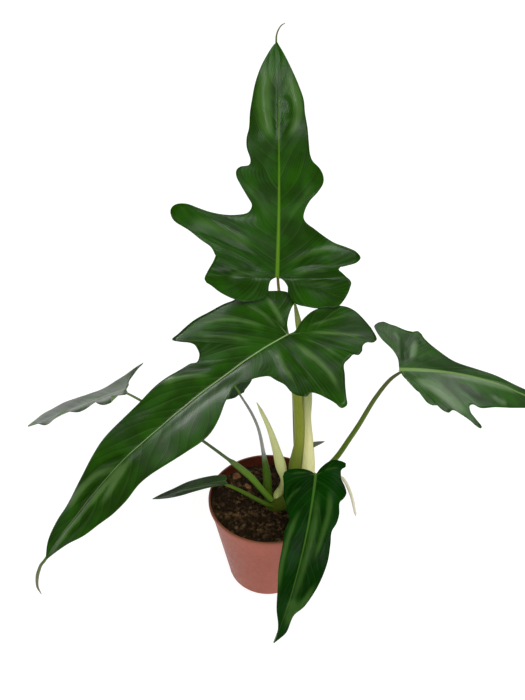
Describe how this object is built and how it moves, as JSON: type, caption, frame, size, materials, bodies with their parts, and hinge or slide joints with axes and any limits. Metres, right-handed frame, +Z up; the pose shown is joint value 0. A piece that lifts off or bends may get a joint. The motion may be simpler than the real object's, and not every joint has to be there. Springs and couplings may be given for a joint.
{
  "type": "potted philodendron",
  "caption": "Young philodendron with deeply lobed, arrow-shaped green leaves on long stalks, rooted in soil in a plain tapered terracotta-coloured pot.",
  "frame": {"origin": "centre of the pot's flat underside", "axes": "+Z up along the pot's axis; +Y away from the viewer of the picture; +X to the viewer's right"},
  "size_m": [0.5249, 0.3291, 0.5456],
  "materials": {
    "pot": "satin",
    "soil": "matte",
    "bark": "matte",
    "stem": "satin",
    "petiole": "satin",
    "sheath": "satin",
    "dry_sheath": "matte",
    "root": "matte",
    "blade": "gloss"
  },
  "bodies": {
    "root": {"pot": "pot", "soil": "soil", "bark_chip_1": "bark", "bark_chip_2": "bark", "bark_chip_3": "bark", "bark_chip_4": "bark", "bark_chip_5": "bark", "stem": "stem", "petiole_top": "petiole", "petiole_large": "petiole", "petiole_right": "petiole", "petiole_front": "petiole", "petiole_far_left": "petiole", "petiole_young": "petiole", "petiole_rear": "petiole", "new_leaf_spike": "sheath", "cataphyll_left": "sheath", "cataphyll_right": "dry_sheath", "root_nub": "root", "blade_top": "blade", "blade_large": "blade", "blade_right": "blade", "blade_front": "blade", "blade_far_left": "blade", "blade_young": "blade", "blade_rear": "blade"}
  },
  "joints": []
}
